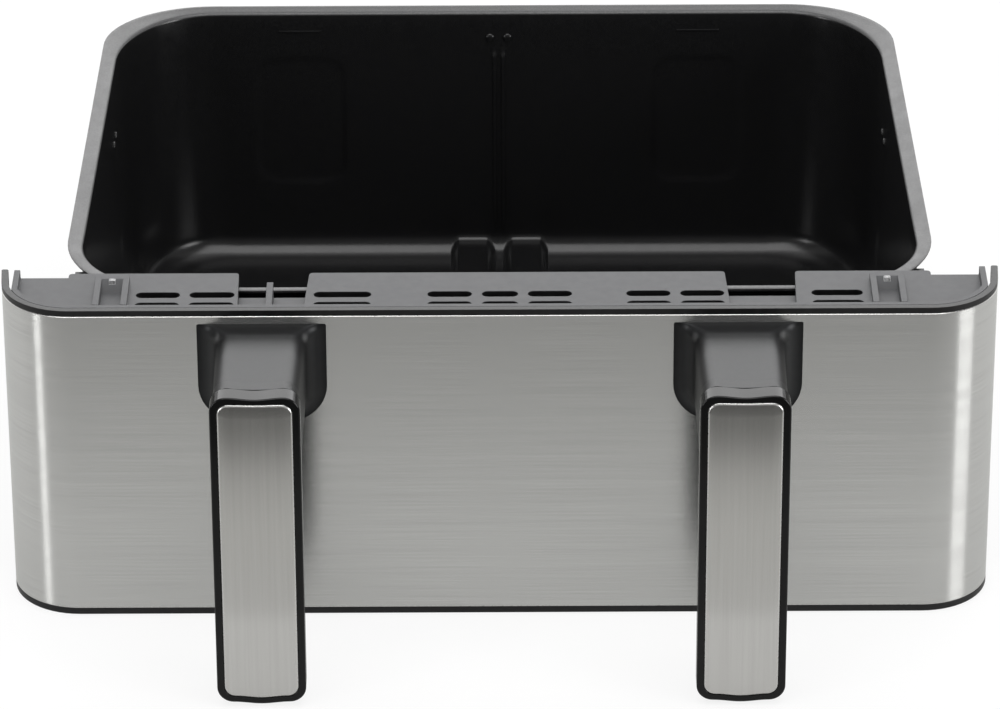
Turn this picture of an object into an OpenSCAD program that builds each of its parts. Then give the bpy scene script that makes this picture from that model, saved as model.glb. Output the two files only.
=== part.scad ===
// Wide air fryer drawer: a drawn pan, a steel-clad front with two handles, and a slotted deck.
// The front face is the plane y = 0 while the pieces are modelled; +Y runs back into the pan.

/* [Front] */
// Length of the flat part of the front
front_flat = 343.6; // [320:1:380]
// Outer radius of the front's vertical corners
corner_r = 28.3; // [20:0.5:34]
// Angle that each corner turns through before its straight return
corner_sweep = 86; // [80:0.5:89]
// Depth of the front, from its face to the ends of its returns
front_depth = 37.5; // [34:0.5:44]
// Height of the front
front_h = 139; // [128:1:150]
// Thickness of the steel skin
skin_t = 0.6; // [0.4:0.1:1]
// Wall of the plastic shell behind the skin
shell_t = 2.2; // [1.8:0.1:3]
// Height of the plastic trim above the skin
top_trim_h = 2.5; // [1.5:0.1:4]
// Height of the plastic trim below the skin
bottom_trim_h = 2.8; // [2:0.1:4]
// Distance from the front face to the back cover
cavity_depth = 24; // [22:0.5:25]
// Thickness of the back cover
cover_t = 2.2; // [1.8:0.1:2.6]

/* [Deck] */
// Drop from the top of the front to the deck
deck_drop = 4; // [3:0.5:6]
// Thickness of the deck
deck_t = 2.5; // [2:0.1:3]
// Thickness of the lip round the deck
lip_t = 2.4; // [2:0.1:3]
// Height of the lip, from its foot inside the shell to its top
lip_h = 13; // [10:0.5:16]
// Distance from the front face to the deck's rear edge
deck_rear = 41.3; // [39:0.1:43]
// Gap between the ends of the deck's lip and the shell
lip_end_gap = 1.7; // [1:0.1:3]
// Width of the longer, middle part of the deck
deck_mid_w = 348; // [340:1:356]
// Amount by which the deck's ends are shorter than its middle
deck_end_step = 3.8; // [2:0.1:5]
// Width of a vent slot
slot_w = 4.8; // [4:0.1:6]
// Distance from the front face to the rear row of slots
slot_rear_y = 21.8; // [20:0.1:25]
// Distance between the two rows of slots
slot_pitch = 9; // [7:0.1:10]
// Depth of the catch notches' trays below the deck
tray_drop = 5; // [4:0.5:7]
// Distance from the front face to the rear edge of the trays
tray_rear = 29; // [26:0.5:30]
// Thickness of the switch tab in the left notch
tab_t = 2.6; // [2:0.1:4]
// Height of the switch tab above its tray
tab_h = 7; // [5:0.5:9]
// Distance of the tab from the middle of the front
tab_x = 92.3; // [90:0.1:95]
// Clearance between the tab and the deck's lip
tab_gap = 2; // [1:0.1:4]
// Wall round the trays and under the catch pockets
tray_wall = 1.6; // [1.2:0.1:2.4]
// Distance of the catch pockets from the middle of the front
pocket_x = 155.8; // [152:0.1:160]
// Distance from the front face to the front of a catch pocket
pocket_front = 8; // [7:0.5:12]
// Distance from the front face to the rear of a catch pocket
pocket_rear = 31; // [28:0.5:33]
// Length of the ramp at the rear of a catch pocket
pocket_ramp = 4.8; // [3:0.1:6]
// Distance between the two ribs of a catch pocket
pocket_w = 8.6; // [7:0.1:11]
// Depth of a catch pocket below the deck
pocket_drop = 1.2; // [0.8:0.1:2.5]
// Thickness of the ribs round a catch pocket
rib_t = 2.6; // [2:0.1:3.5]
// Height of the ribs above the deck
rib_h = 2.8; // [1.5:0.1:3.5]
// Width of the nub on a catch pocket's rear wall
nub_w = 2.4; // [1.5:0.1:4]
// Height of the nub
nub_h = 2.2; // [1.8:0.1:3]
// Depth of the nub
nub_d = 1.8; // [1.2:0.1:2]

/* [Pan] */
// Outer width of the pan's rim beside its front corners
rim_w = 354.4; // [340:1:360]
// Amount by which the rim is narrower at the back
rim_taper = 5.4; // [0:0.2:8]
// Outer length of the rim, front to back
rim_len = 282.8; // [260:1:300]
// Distance from the front face to the front of the rim
rim_front = 33.2; // [32.5:0.1:35]
// Gap between the underside of the deck and the rim
rim_gap = 1.5; // [1:0.1:3]
// Width of the rim along the sides and the back
rim_flange = 6.4; // [5:0.1:8]
// Width of the rim along the front
rim_front_flange = 4.2; // [3.5:0.1:5]
// Reach of the rim's outer rear corners across the pan
rim_corner_x = 47; // [40:1:52]
// Reach of the rim's outer rear corners along the pan
rim_corner_y = 41; // [38:1:46]
// Reach of the rim's outer front corners across the pan
rim_front_corner_x = 42; // [38:1:50]
// Reach of the rim's outer front corners along the pan
rim_front_corner_y = 47; // [40:1:52]
// Reach of the well's rear corners across the pan, level with the rim
well_corner_x = 42; // [36:1:46]
// Reach of the well's rear corners along the pan, level with the rim
well_corner_y = 50; // [40:1:54]
// Reach of the well's front corners both ways, level with the rim
well_front_corner = 41; // [36:1:46]
// Sheet thickness of the pan
pan_t = 1.4; // [1:0.1:2]
// Depth of the pan inside
pan_depth = 116.5; // [105:0.5:120]
// Draft of the pan's walls
draft = 3; // [1:0.25:4]
// Radius between the walls and the floor
floor_r = 10; // [8:0.5:14]
// Height of the divider seat above the floor
hump_h = 5.6; // [3:0.1:8]
// Width of each flat top of the divider seat
hump_w = 13.7; // [10:0.1:18]
// Clear width between the two tops of the divider seat
hump_gap = 10.6; // [8:0.1:14]
// Width of the valley between them, at the floor
valley_w = 3.6; // [2:0.1:6]
// Width of the slope on the outside of each top, at the floor
hump_foot = 2.8; // [2:0.1:5]
// Distance from the rim to each end of the groove under the seat
groove_end = 24; // [20:1:40]
// Distance between the two divider guides on the back wall
guide_pitch = 7.8; // [7:0.1:10]
// Diameter of a divider guide's boss
guide_d = 4; // [3:0.1:6]
// Drop from the rim to the middle of the guides' bosses
guide_drop = 13; // [11:0.5:16]
// Height that a boss or a guide's bead stands out from the wall
guide_out = 0.9; // [0.5:0.1:1.5]
// Width of the bead below each guide's boss
bead_w = 1.4; // [1:0.1:2]
// Distance from the guides' bosses and from the floor's fillet to the ends of the bead
bead_gap = 4; // [3:0.5:8]
// Depth of the pressed panels in the walls
panel_press = 0.6; // [0.3:0.1:0.8]
// Distance of the back wall's panels from the middle
panel_x = 89; // [84:1:94]
// Width of a back panel
panel_w = 39; // [34:1:44]
// Drop from the rim to the upper edge of the panels
panel_drop = 23; // [20:1:28]
// Height of the panels
panel_h = 59; // [50:1:64]
// Corner radius of the panels
panel_r = 9; // [6:0.5:12]
// Distance from the front face to the front edge of a side wall's panel
side_panel_front = 127; // [115:1:140]
// Length of a side wall's panel
side_panel_len = 89; // [80:1:96]
// Drop from the rim to the stops behind a side panel
stop_drop = 24.5; // [22:0.5:28]
// Distance from a side panel to the middle of the first stop
stop_gap = 5; // [4:0.5:8]
// Distance between a side wall's two stops
stop_pitch = 10; // [7:0.5:14]
// Diameter of a stop
stop_d = 4.6; // [3:0.1:6]
// Drop from the rim to the fill lines
line_drop = 10; // [8:0.5:12]
// Length of a fill line
line_len = 19; // [15:1:24]
// Width of a fill line
line_w = 0.8; // [0.6:0.1:1.2]
// Height that a fill line stands out from the wall
line_out = 0.4; // [0.2:0.1:0.6]

/* [Handles] */
// Distance of each handle from the middle of the front
handle_x = 95; // [90:1:100]
// Distance from the front face to the front of the handles
reach = 74; // [66:1:84]
// Width of a handle's front frame
frame_w = 35.3; // [32:0.1:38]
// Depth of a handle's front frame
frame_d = 9; // [8:0.5:12]
// Height of the handle's lower end above the base of the front
grip_foot = 1; // [0:0.5:12]
// Drop from the top of the front to the handle's upper end
grip_drop = 0.7; // [0:0.1:3]
// Depth of the grip behind its frame
grip_d = 14; // [12:0.5:18]
// Amount by which the grip stands out beside its frame
grip_side = 0.9; // [0:0.1:1.5]
// Radius along the rear edges of the grip
grip_round = 6; // [4:0.5:7]
// Outer corner radius of a frame
frame_r = 6.5; // [5:0.1:8]
// Dip of the frame's upper edge in its middle
frame_dip = 0.8; // [0.4:0.1:1.2]
// Width of the gloss border round the steel inlay
border = 2.8; // [2:0.1:4]
// Thickness of the steel inlay
plate_t = 0.8; // [0.5:0.1:1.2]
// Width of a handle's base on the front
base_w = 51.2; // [46:0.2:56]
// Drop from the top of the front to the upper edge of a handle's base
base_drop = 6; // [5:0.5:9]
// Height of a handle's base
base_h = 42; // [38:0.5:46]
// Width of the neck between base and grip
neck_w = 35.4; // [32:0.2:37]
// Depth over which the base flares into the neck
flare_d = 11; // [8:0.5:15]
// Drop of the neck's upper side below the base's upper edge
neck_dip = 1; // [0.5:0.1:2]
// Height of the neck's lower side above the base's lower edge
neck_rise = 7; // [5:0.5:9]
// Radius of the neck's upper corners
neck_r = 6; // [4:0.5:7]
// Radius of the neck's lower corners
neck_low_r = 7; // [5:0.5:9]
// Depth of the web where the neck runs down into the grip
neck_web = 12; // [8:0.5:16]
// Radius of the base's upper corners
base_corner_r = 0.8; // [0.5:0.1:3]
// Reach of the rounding of the base's lower corners
base_low_r = 20; // [14:0.5:24]

/* [Fasteners] */
// Diameter of the handle screws
handle_screw_d = 5; // [4:0.5:6]
// Distance between a handle's two screws
handle_screw_pitch = 14; // [12:0.5:15]
// Distance from the middle of the base down to the middle of its screws
handle_screw_drop = 3; // [1:0.5:4]
// Length of a handle screw in the neck
handle_screw_in = 18; // [12:1:24]
// Thickness of a clamp plate
clamp_t = 2; // [1.5:0.1:3]
// Width of a clamp plate
clamp_w = 34; // [28:1:44]
// Distance from the handle screws to the upper and lower edges of the clamp plate
clamp_rim = 6; // [5:0.5:8]
// Diameter of the small screws
small_screw_d = 3; // [2.5:0.1:3.5]
// Length of a small screw in its boss
small_screw_in = 7; // [5:0.5:8]
// Depth of the pilot hole beyond a small screw's tip
pilot_gap = 1; // [0.5:0.1:2]
// Wall of a boss round a small screw
boss_wall = 2.5; // [2:0.1:3.5]
// Distance from the grip's foot to its lower screw
grip_screw_up = 23; // [15:1:40]
// Distance between the grip's two screws
grip_screw_pitch = 52; // [40:1:60]
// Wall of the frame in front of a grip screw's pilot hole
pilot_wall = 2.5; // [1.5:0.1:4]
// Depth of the grip in front of a grip screw's head
screw_seat = 8; // [6:0.5:9]
// Clearance round a grip screw's head
head_gap = 0.8; // [0.4:0.1:1.2]
// Distance of the cover's inner screws from the middle
cover_screw_x = 40; // [36:1:44]
// Distance of the cover's lower outer screws from the middle
cover_screw_low_x = 150; // [146:1:154]
// Distance of the cover's upper outer screws from the middle
cover_screw_high_x = 167; // [165:0.5:169]
// Height of the cover's lower screws
cover_screw_up = 16; // [14:1:20]
// Drop from the rim to the cover's upper screws
cover_screw_drop = 15; // [13:0.5:16]
// Distance of the bracket's inner screws from the middle
bracket_screw_x = 60; // [56:1:64]
// Distance of the bracket's outer screws from the middle
bracket_screw_out = 125; // [120:1:127]
// Sheet thickness of the heat shield
shield_t = 0.6; // [0.4:0.1:0.8]
// Sheet thickness of the pan bracket
bracket_t = 1.5; // [1.2:0.1:2]
// Width of the heat shield
shield_w = 310; // [290:1:320]
// Corner radius of the sheet pieces
sheet_r = 4; // [2:0.5:8]
// Drop from the rim to the middle of the pan bracket
bracket_drop = 45; // [42:1:50]
// Height of the bracket's web
bracket_h = 40; // [36:1:44]
// Width of the bracket's web
bracket_w = 270; // [264:1:280]
// Height of the bracket's flanges on the pan
bracket_foot = 12; // [8:1:16]
// Amount by which the flanges stop short of the web's ends
bracket_end = 4; // [2:0.5:8]
// Amount by which the flat of the back cover is shorter than the flat of the front, at each end
cover_end = 0.8; // [0:0.1:3]
// Width of the slope where the cover steps back
cover_slope = 6; // [4:0.5:8]
// Distance of the cover's ears from the middle
ear_x = 170; // [169:0.1:171]
// Width of an ear
ear_w = 5; // [4:0.1:5.5]
// Height of an ear
ear_h = 9; // [6:0.5:10]
// Distance from the front face to the tip of an ear
ear_back = 54; // [50:0.5:58]
// Height of the shell's ledge under the deck's lip
ledge_h = 2.5; // [2:0.1:3]
// Thickness of the shell's ribs
shell_rib_t = 1.6; // [1.2:0.1:2]
// Depth of the shell's middle ribs
shell_rib_d = 8; // [5:0.5:12]
// Distance between the shell's middle ribs
shell_rib_pitch = 30; // [24:1:36]
// Clearance between pieces that slide together
gap = 0.2; // [0.1:0.05:0.4]
// Radial clearance round a screw in its thread
thread_gap = 0.05; // [0.02:0.01:0.1]

/* [Hidden] */

over = 1;                                   // length by which a cut passes the face it opens
bite = 0.5;                                 // overlap of parts of one piece
head_ratio = 1.8;                           // diameter of a screw's head over that of its shank
half_flat = front_flat / 2;
wall_in = skin_t + shell_t;                 // inside of the shell wall, from the front face
lip_out = wall_in + gap;                    // outside of the deck's lip
lip_in = lip_out + lip_t;
deck_z = front_h - deck_drop;               // top of the deck
lip_foot = front_h - lip_h;
deck_half = half_flat + corner_r - wall_in - lip_end_gap;
tray_z = deck_z - tray_drop;
rim_z = deck_z - deck_t - rim_gap;          // top of the pan's rim
rim_back = rim_front + rim_len;
floor_z = rim_z - pan_depth;                // inside of the pan's floor
drawer_mid = (rim_back - reach) / 2;        // centre of the drawer's length
cover_back = cavity_depth + cover_t;
shield_back = cover_back + shield_t;
bracket_back = shield_back + bracket_t;
cover_top = tray_z - deck_t - gap;
cover_flat = half_flat - cover_end;
pan_face = rim_front + rim_front_flange - pan_t;  // front of the pan's wall, level with its rim
bracket_z = rim_z - bracket_drop;
hump_half = hump_gap / 2 + hump_w;

// Vent slots, from left to right: centre and length
slots = [
    [-137.1, 17.6], [-115.4, 17.9], [-63.1, 23], [-20.1, 17.7], [0.1, 14.4],
    [20.1, 17.6], [59.6, 17.6], [81.2, 17.5], [135.3, 20.5]
];
// Notches: left and right edge at the rear of the deck, then the taper of each edge to the front
notches = [[-105.3, -76.8, 0.6, -2], [90.8, 119.3, 1.6, -1]];

base_top = front_h - base_drop;
base_foot = base_top - base_h;
grip_top = front_h - grip_drop;
grip_back = reach - frame_d - grip_d;       // rear of the grip, in front of the face
frame_back = reach - frame_d;
grip_half = frame_w / 2 + grip_side;
handle_screw_z = base_top - base_h / 2 - handle_screw_drop;
grip_screw_z = [grip_foot + grip_screw_up, grip_foot + grip_screw_up + grip_screw_pitch];
clamp_h = handle_screw_pitch + 2 * clamp_rim;

cover_high_z = rim_z - cover_screw_drop;
cover_screw_low = [for (x = [-cover_screw_low_x, -cover_screw_x, cover_screw_x, cover_screw_low_x])
    [x, cover_screw_up]];
cover_screw_high = [for (x = [-cover_screw_high_x, -cover_screw_x, cover_screw_x, cover_screw_high_x])
    [x, cover_high_z]];
bracket_screw_at = [for (x = [-bracket_screw_out, -bracket_screw_x, bracket_screw_x, bracket_screw_out])
    [x, bracket_z]];
boss_d = small_screw_d + 2 * boss_wall;

// ---- Helpers -------------------------------------------------------------------------------

// Points on an elliptical arc.
function arc(c, rx, ry, a0, a1, n) =
    [for (i = [0 : n]) let (a = a0 + (a1 - a0) * i / n) [c.x + rx * cos(a), c.y + ry * sin(a)]];

function mirrored(pts) = [for (i = [len(pts) - 1 : -1 : 0]) [-pts[i].x, pts[i].y]];

// One ring of points at a height z.
function at_z(pts, z) = [for (p = pts) [p.x, p.y, z]];

// Solid through a stack of rings with equal numbers of points, each ring counter-clockwise
// as seen from the side of the last ring.
module loft(rings) {
    n = len(rings[0]);
    m = len(rings);
    points = [for (r = rings) each r];
    sides = [for (k = [0 : m - 2], i = [0 : n - 1]) let (j = (i + 1) % n)
        [k * n + i, (k + 1) * n + i, (k + 1) * n + j, k * n + j]];
    first = [for (i = [0 : n - 1]) i];
    last = [for (i = [n - 1 : -1 : 0]) (m - 1) * n + i];
    polyhedron(points = points, faces = concat([first, last], sides), convexity = 6);
}

// Rectangle with round corners, centred in x, from z0 to z1.
module round_rect(w, z0, z1, r) {
    for (s = [-1, 1], z = [z0 + r, z1 - r]) {
        translate([s * (w / 2 - r), z]) circle(r = r, $fn = 48);
    }
    translate([-w / 2 + r, z0]) square([w - 2 * r, z1 - z0]);
    translate([-w / 2, z0 + r]) square([w, z1 - z0 - 2 * r]);
}

// Turns a drawing in x and z into a plate from y0 to y1.
module plate_y(y0, y1) {
    translate([0, y1, 0]) rotate([90, 0, 0]) linear_extrude(y1 - y0) children();
}

// Cylinder along y.
module rod_y(x, z, d, y0, y1) {
    translate([x, y1, z]) rotate([90, 0, 0]) cylinder(d = d, h = y1 - y0, $fn = 40);
}

// Outline of the front, set in by a distance, as an area that reaches back to a given depth.
module front_area(inset, depth) {
    r = corner_r - inset;
    steps = 14;
    bend = arc([half_flat, corner_r], r, r, -90, corner_sweep - 90, steps);
    tip = bend[steps];
    end = [tip.x + (depth - tip.y) / tan(corner_sweep), depth];
    right = concat(bend, [end]);
    polygon(concat(right, mirrored(right)));
}

// Wall that follows the front between two insets.
module front_wall(outer, inner, depth) {
    difference() {
        front_area(outer, depth);
        front_area(inner, depth + over);
    }
}

// Area of the deck, set in by a distance from the outside of its lip.
module deck_area(inset) {
    half = deck_half - inset;
    intersection() {
        front_area(lip_out + inset, deck_rear);
        union() {
            translate([-half, 0]) square([2 * half, deck_rear - deck_end_step]);
            translate([-deck_mid_w / 2, 0]) square([deck_mid_w, deck_rear]);
        }
    }
}

// ---- Pan -----------------------------------------------------------------------------------

// Ring of the pan: a rectangle with elliptical corners whose sides close in towards the back.
// Each corner is given by its reach across and along the pan.
function pan_ring(inset, inset_front, front_corner, rear_corner) =
    let (
        front = rim_w / 2 - inset,
        back = front - rim_taper / 2,
        y0 = rim_front + inset_front + front_corner.y,
        y1 = rim_back - inset - rear_corner.y,
        steps = 10
    )
    concat(
        arc([front - front_corner.x, y0], front_corner.x, front_corner.y, -90, 0, steps),
        arc([back - rear_corner.x, y1], rear_corner.x, rear_corner.y, 0, 90, steps),
        arc([rear_corner.x - back, y1], rear_corner.x, rear_corner.y, 90, 180, steps),
        arc([front_corner.x - front, y0], front_corner.x, front_corner.y, 180, 270, steps)
    );

// Closed form of the pan, grown by a sheet thickness: the pan is one form less another. Its
// corners grow tighter towards the floor.
module pan_form(grow, top) {
    d = tan(draft);
    deep = pan_depth - floor_r;
    steps = 5;
    tighten = 0.4;
    bowl = [for (i = [0 : steps]) let (a = 90 * i / steps)
        [deep * d + (floor_r + grow) * (1 - cos(a)) - grow, floor_z + floor_r - (floor_r + grow) * sin(a)]];
    walls = concat([for (i = [steps : -1 : 0]) bowl[i]], [[-grow - (top - rim_z) * d, top]]);
    loft([for (w = walls) let (t = w[0] * tighten) at_z(
        pan_ring(rim_flange + w[0], rim_front_flange + w[0],
            [well_front_corner - t, well_front_corner - t], [well_corner_x - t, well_corner_y - t]),
        w[1])]);
}

// Profile of the divider seat: two flat humps with a valley between them.
module hump_profile(drop) {
    for (s = [-1, 1]) {
        polygon([
            [s * valley_w / 2, -drop], [s * valley_w / 2, 0],
            [s * hump_gap / 2, hump_h], [s * hump_half, hump_h],
            [s * (hump_half + hump_foot), 0], [s * (hump_half + hump_foot), -drop]
        ]);
    }
}

module humps(z, drop, end_gap) {
    translate([0, 0, z]) plate_y(rim_front + end_gap, rim_back - end_gap) hump_profile(drop);
}

// Places a drawing in x and height above the rim on the inside of the back wall, from behind it
// to a depth in front of it.
module on_back_wall(behind, before) {
    translate([0, rim_back - rim_flange, rim_z]) rotate([90 - draft, 0, 0])
        translate([0, 0, -behind]) linear_extrude(behind + before) children();
}

// Does the same on the inside of the right side wall, with y in place of x.
module on_side_wall(behind, before) {
    y0 = rim_front + rim_front_flange + well_front_corner;
    y1 = rim_back - rim_flange - well_corner_y;
    turn = atan(rim_taper / 2 / (y1 - y0));
    translate([rim_w / 2 - rim_flange, y0, rim_z]) rotate([0, 0, turn]) rotate([0, draft, 0])
        rotate([90, 0, 90]) translate([-y0, 0, -before]) linear_extrude(behind + before) children();
}

// Outline of one pressed panel of a given width.
module panel(w) {
    round_rect(w, -panel_drop - panel_h, -panel_drop, panel_r);
}

module pan() {
    outer_front = [rim_front_corner_x, rim_front_corner_y];
    outer_rear = [rim_corner_x, rim_corner_y];
    back_panel_x = [-panel_x, panel_x];
    bead_h = pan_depth - floor_r - guide_drop - 2 * bead_gap;
    color("#1d1d1f") {
        difference() {
            union() {
                difference() {
                    union() {
                        pan_form(pan_t, rim_z - pan_t / 2);
                        loft([
                            at_z(pan_ring(0, 0, outer_front, outer_rear), rim_z - pan_t),
                            at_z(pan_ring(0, 0, outer_front, outer_rear), rim_z)
                        ]);
                    }
                    pan_form(0, rim_z + over);
                }
                intersection() {
                    humps(floor_z, pan_t / 2, 0);
                    pan_form(pan_t / 2, rim_z);
                }
                for (s = [-1, 1]) on_back_wall(pan_t / 2, guide_out) {
                    translate([s * guide_pitch / 2, -guide_drop]) circle(d = guide_d, $fn = 24);
                    translate([(s * guide_pitch / 2 - bead_w) / 2, -guide_drop - bead_gap - bead_h])
                        square([bead_w, bead_h]);
                }
                for (s = [0, 1], i = [0, 1]) mirror([s, 0, 0]) on_side_wall(pan_t / 2, guide_out) {
                    translate([side_panel_front + side_panel_len + stop_gap + i * stop_pitch, -stop_drop])
                        circle(d = stop_d, $fn = 24);
                }
            }
            humps(floor_z - pan_t, over, groove_end);
            on_back_wall(panel_press, over) for (x = back_panel_x) translate([x, 0]) panel(panel_w);
            for (s = [0, 1]) mirror([s, 0, 0]) on_side_wall(panel_press, over) {
                translate([side_panel_front + side_panel_len / 2, 0]) panel(side_panel_len);
            }
        }
        on_back_wall(pan_t / 2, line_out) for (x = back_panel_x) {
            translate([x - line_len / 2, -line_drop]) square([line_len, line_w]);
        }
    }
}

// Carries its children into the plane of the pan's front wall: y = 0 is the sheet's outside.
module on_pan_face() {
    translate([0, pan_face, rim_z]) rotate([draft, 0, 0]) children();
}

module pan_bracket() {
    half = bracket_w / 2;
    low = bracket_z - bracket_h / 2;
    high = bracket_z + bracket_h / 2;
    flange = bracket_w - 2 * bracket_end;
    color("silver") difference() {
        union() {
            plate_y(shield_back, bracket_back) round_rect(bracket_w, low, high, sheet_r);
            intersection() {
                for (z = [low, high - bracket_t]) {
                    translate([-flange / 2, shield_back, z]) cube([flange, pan_face, bracket_t]);
                }
                on_pan_face() translate([-half, -pan_face, -rim_z]) cube([2 * half, pan_face, rim_z]);
            }
            on_pan_face() {
                for (z = [high - rim_z - bracket_t, low - rim_z - bracket_foot]) {
                    translate([-flange / 2, -bracket_t, z])
                        cube([flange, bracket_t, bracket_foot + bracket_t]);
                }
            }
        }
        for (p = bracket_screw_at) rod_y(p.x, p.y, small_screw_d + 2 * gap, cavity_depth, pan_face);
    }
}

module heat_shield() {
    low = cover_screw_up + boss_d;
    high = cover_high_z - boss_d / 2 - gap;
    color("gainsboro") plate_y(cover_back, shield_back) difference() {
        round_rect(shield_w, low, high, sheet_r);
        for (p = bracket_screw_at) translate(p) circle(d = small_screw_d + 2 * gap, $fn = 40);
    }
}

// ---- Front assembly ------------------------------------------------------------------------

// Plan of the back cover: a flat panel whose ends step back to the ends of the shell.
module cover_plan() {
    wing = deck_half - lip_t;
    back = front_depth - cover_t;
    k = cover_slope / (back - cavity_depth);
    lean = cover_t * (sqrt(1 + k * k) - k);
    inner = [[cover_flat, cavity_depth], [cover_flat + cover_slope, back], [wing, back]];
    outer = [[wing, front_depth], [cover_flat + cover_slope - lean, front_depth],
        [cover_flat - lean, cover_back]];
    right = concat(inner, outer);
    polygon(concat(right, mirrored(right)));
}

module back_cover() {
    color("#161617") difference() {
        union() {
            translate([0, 0, bottom_trim_h]) linear_extrude(cover_top - bottom_trim_h) cover_plan();
            for (s = [-1, 1]) {
                translate([s * ear_x - ear_w / 2, cavity_depth, rim_z - pan_t - gap - ear_h])
                    cube([ear_w, ear_back - cavity_depth, ear_h]);
            }
        }
        for (p = concat(cover_screw_low, cover_screw_high, bracket_screw_at)) {
            rod_y(p.x, p.y, small_screw_d + 2 * gap, cavity_depth - over, pan_face);
        }
    }
}

// One notch through the deck, grown by a wall on its sides and front.
module notch_plan(n, grow) {
    y1 = grow > 0 ? tray_rear : deck_rear + over;
    polygon([
        [n[0] - grow, y1], [n[0] + n[2] - grow, lip_in - grow],
        [n[1] + n[3] + grow, lip_in - grow], [n[1] + grow, y1]
    ]);
}

module slot_plan(length) {
    run = length - slot_w;
    for (s = [-1, 1]) translate([s * run / 2, 0]) circle(d = slot_w, $fn = 40);
    translate([-run / 2, -slot_w / 2]) square([run, slot_w]);
}

// Side view of the space in a catch pocket, with the ramp at its rear, drawn in y and z.
module pocket_side() {
    top = deck_z + rib_h;
    foot = deck_z - pocket_drop;
    polygon([
        [pocket_front - over, foot], [pocket_rear - pocket_ramp, foot],
        [pocket_rear, top], [pocket_rear, top + over], [pocket_front - over, top + over]
    ]);
}

module deck_cover() {
    pocket_foot = deck_z - pocket_drop;
    pocket_len = pocket_rear - pocket_front;
    block_w = pocket_w + 2 * rib_t;
    boss = boss_d - 2 * bite;
    boss_front = cavity_depth - small_screw_in - 2 * pilot_gap;
    color("#6c6d70") difference() {
        union() {
            translate([0, 0, deck_z - deck_t]) linear_extrude(deck_t) deck_area(0);
            translate([0, 0, lip_foot]) linear_extrude(lip_h) intersection() {
                difference() {
                    deck_area(0);
                    deck_area(lip_t);
                }
                translate([-deck_half, 0]) square([2 * deck_half, deck_rear - deck_end_step]);
            }
            for (n = notches) {
                translate([0, 0, tray_z - deck_t]) linear_extrude(tray_drop + deck_t)
                    notch_plan(n, tray_wall);
            }
            for (s = [-1, 1]) {
                translate([s * pocket_x - block_w / 2, pocket_front, pocket_foot - tray_wall])
                    cube([block_w, pocket_len + rib_t, pocket_drop + tray_wall + rib_h]);
            }
            for (p = cover_screw_high) {
                translate([p.x - boss / 2, boss_front, p.y])
                    cube([boss, cavity_depth - boss_front, deck_z - deck_t / 2 - p.y]);
                rod_y(p.x, p.y, boss, boss_front, cavity_depth);
            }
        }
        for (n = notches) {
            translate([0, 0, tray_z]) linear_extrude(front_h - tray_z) notch_plan(n, 0);
        }
        for (s = slots, y = [slot_rear_y, slot_rear_y - slot_pitch]) {
            translate([s[0], y, deck_z - deck_t - over]) linear_extrude(deck_t + 2 * over) slot_plan(s[1]);
        }
        for (s = [-1, 1]) {
            translate([s * pocket_x - pocket_w / 2, 0, 0]) rotate([90, 0, 90])
                linear_extrude(pocket_w) pocket_side();
        }
        for (p = cover_screw_high) {
            rod_y(p.x, p.y, small_screw_d + 2 * thread_gap, boss_front + pilot_gap, cavity_depth + over);
        }
    }
    color("#6c6d70") {
        translate([-tab_x - tab_t / 2, lip_in + tab_gap, tray_z - bite])
            cube([tab_t, tray_rear - lip_in - tab_gap, tab_h + bite]);
        for (s = [-1, 1]) {
            translate([s * pocket_x - nub_w / 2, pocket_rear - nub_d, deck_z + rib_h - nub_h])
                cube([nub_w, nub_d + bite, nub_h]);
        }
    }
}

// Holes for the screws of both handles, through the front.
module handle_holes() {
    for (s = [-1, 1], z = [-1, 1]) {
        rod_y(s * handle_x, handle_screw_z + z * handle_screw_pitch / 2,
            handle_screw_d + 2 * gap, -over, cavity_depth);
    }
}

module front_shell() {
    inside = skin_t + bite;
    rib_foot = bottom_trim_h - bite;
    middle_ribs = [-shell_rib_pitch, 0, shell_rib_pitch];
    color("#141415") difference() {
        union() {
            linear_extrude(bottom_trim_h) difference() {
                front_area(0, front_depth);
                translate([-cover_flat, cover_back]) square([2 * cover_flat, front_depth]);
            }
            linear_extrude(front_h) front_wall(skin_t, wall_in, front_depth);
            translate([0, 0, front_h - top_trim_h]) linear_extrude(top_trim_h)
                front_wall(0, wall_in, front_depth);
            translate([0, 0, lip_foot - ledge_h]) linear_extrude(ledge_h)
                front_wall(inside, lip_in, cavity_depth);
            for (p = concat(cover_screw_low, bracket_screw_at)) {
                rod_y(p.x, p.y, boss_d, inside, cavity_depth);
            }
            for (p = cover_screw_low) translate([p.x - shell_rib_t / 2, inside, rib_foot])
                cube([shell_rib_t, cavity_depth - inside, p.y - rib_foot]);
            for (x = middle_ribs) translate([x - shell_rib_t / 2, inside, rib_foot])
                cube([shell_rib_t, shell_rib_d, lip_foot - bottom_trim_h]);
        }
        for (p = concat(cover_screw_low, bracket_screw_at)) {
            rod_y(p.x, p.y, small_screw_d + 2 * thread_gap, cavity_depth - small_screw_in - pilot_gap,
                cavity_depth + over);
        }
        handle_holes();
    }
}

module steel_fascia() {
    color("#9c9c9a") difference() {
        translate([0, 0, bottom_trim_h]) linear_extrude(front_h - top_trim_h - bottom_trim_h)
            front_wall(0, skin_t, front_depth);
        handle_holes();
    }
}

// ---- Handles -------------------------------------------------------------------------------

// How far the trumpet-shaped base still stands out at a distance from the face, from 1 to 0.
function flare(y) = let (u = 1 - min(y / flare_d, 1)) 1 - sqrt(1 - u * u);

// Part of the way from the end of the flare to a later station, from 0 to 1.
function along(y, end) = max(min((y - flare_d) / (end - flare_d), 1), 0);

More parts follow.
